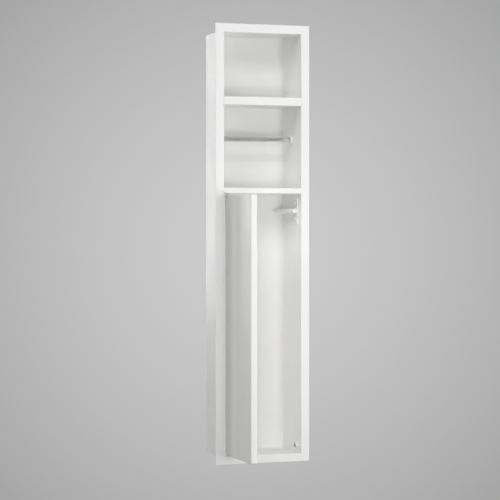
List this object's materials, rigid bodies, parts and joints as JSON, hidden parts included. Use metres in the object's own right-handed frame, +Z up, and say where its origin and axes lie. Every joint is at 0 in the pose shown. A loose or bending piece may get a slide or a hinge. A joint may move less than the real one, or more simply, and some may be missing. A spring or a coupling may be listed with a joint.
{
  "type": "recessed toilet roll cabinet",
  "caption": "Tall narrow sheet-metal niche cabinet for a bathroom wall, with a front flange, two shelves, a roll rod and a pivot door with a touch latch.",
  "frame": {"origin": "on the back panel's outer face, at mid width and at half the flange's height", "axes": "+Z up, +X to the right of someone facing the cabinet, -Y out of the front"},
  "size_m": [0.182, 0.2247, 0.8],
  "materials": {
    "white_powder_coat": "smooth satin powder coat on steel sheet",
    "white_plastic": "moulded white plastic, slight gloss",
    "nylon": "natural nylon, matt",
    "polished_steel": "polished stainless steel tube",
    "zinc_steel": "bright zinc-plated steel",
    "dark_steel": "blackened steel",
    "spring_steel": "drawn spring wire"
  },
  "bodies": {
    "cabinet": {"front_frame": "white_powder_coat", "left_side_panel": "white_powder_coat", "right_side_panel": "white_powder_coat", "top_panel": "white_powder_coat", "bottom_panel": "white_powder_coat", "back_panel": "white_powder_coat", "upper_shelf": "white_powder_coat", "lower_shelf": "white_powder_coat", "upper_pivot_pin": "white_plastic", "lower_pivot_bush": "zinc_steel", "lower_pivot_screw": "zinc_steel", "lower_pivot_washer": "nylon", "latch_mount": "white_plastic", "latch_mount_screws": "white_powder_coat", "latch_barrel": "white_plastic", "latch_rear_cap": "white_plastic", "latch_spring": "spring_steel", "door_stop_post": "white_plastic", "door_stop_screw": "dark_steel", "left_rod_socket": "white_plastic", "right_rod_socket": "white_plastic"},
    "door": {"door_outer_pan": "white_powder_coat", "door_inner_cover": "white_powder_coat", "upper_pivot_block": "nylon", "lower_pivot_block": "nylon", "strike_plate": "zinc_steel", "strike_screws": "zinc_steel"},
    "latch_plunger": {"latch_plunger": "white_plastic", "latch_magnet": "zinc_steel"},
    "rod_outer": {"rod_outer_tube": "polished_steel", "rod_left_cap": "polished_steel", "rod_spring": "spring_steel"},
    "rod_inner": {"rod_inner_tube": "polished_steel", "rod_right_cap": "polished_steel"}
  },
  "joints": [
    {"name": "door_pivot", "type": "hinge", "parent": "cabinet", "child": "door", "pos_m": [-0.0619, -0.08925, -0.1476], "axis": [0, 0, -1], "range_deg": [-91.3, 38.7]},
    {"name": "latch_plunger_slide", "type": "slide", "parent": "cabinet", "child": "latch_plunger", "axis": [0, 1, 0], "range_m": [-0.0039, 0.0092], "stiffness_N_per_m": 150, "deforming": ["latch_spring"]},
    {"name": "roll_rod_spin", "type": "hinge", "parent": "cabinet", "child": "rod_outer", "pos_m": [0, -0.0485, 0.192], "axis": [1, 0, 0], "continuous": true},
    {"name": "roll_rod_slide", "type": "slide", "parent": "rod_outer", "child": "rod_inner", "axis": [-1, 0, 0], "range_m": [0, 0.008], "stiffness_N_per_m": 300, "deforming": ["rod_spring"]}
  ],
  "couplings": [
    {"joint": "latch_plunger_slide", "follows": "door_pivot", "m_per_rad": -0.00565}
  ]
}
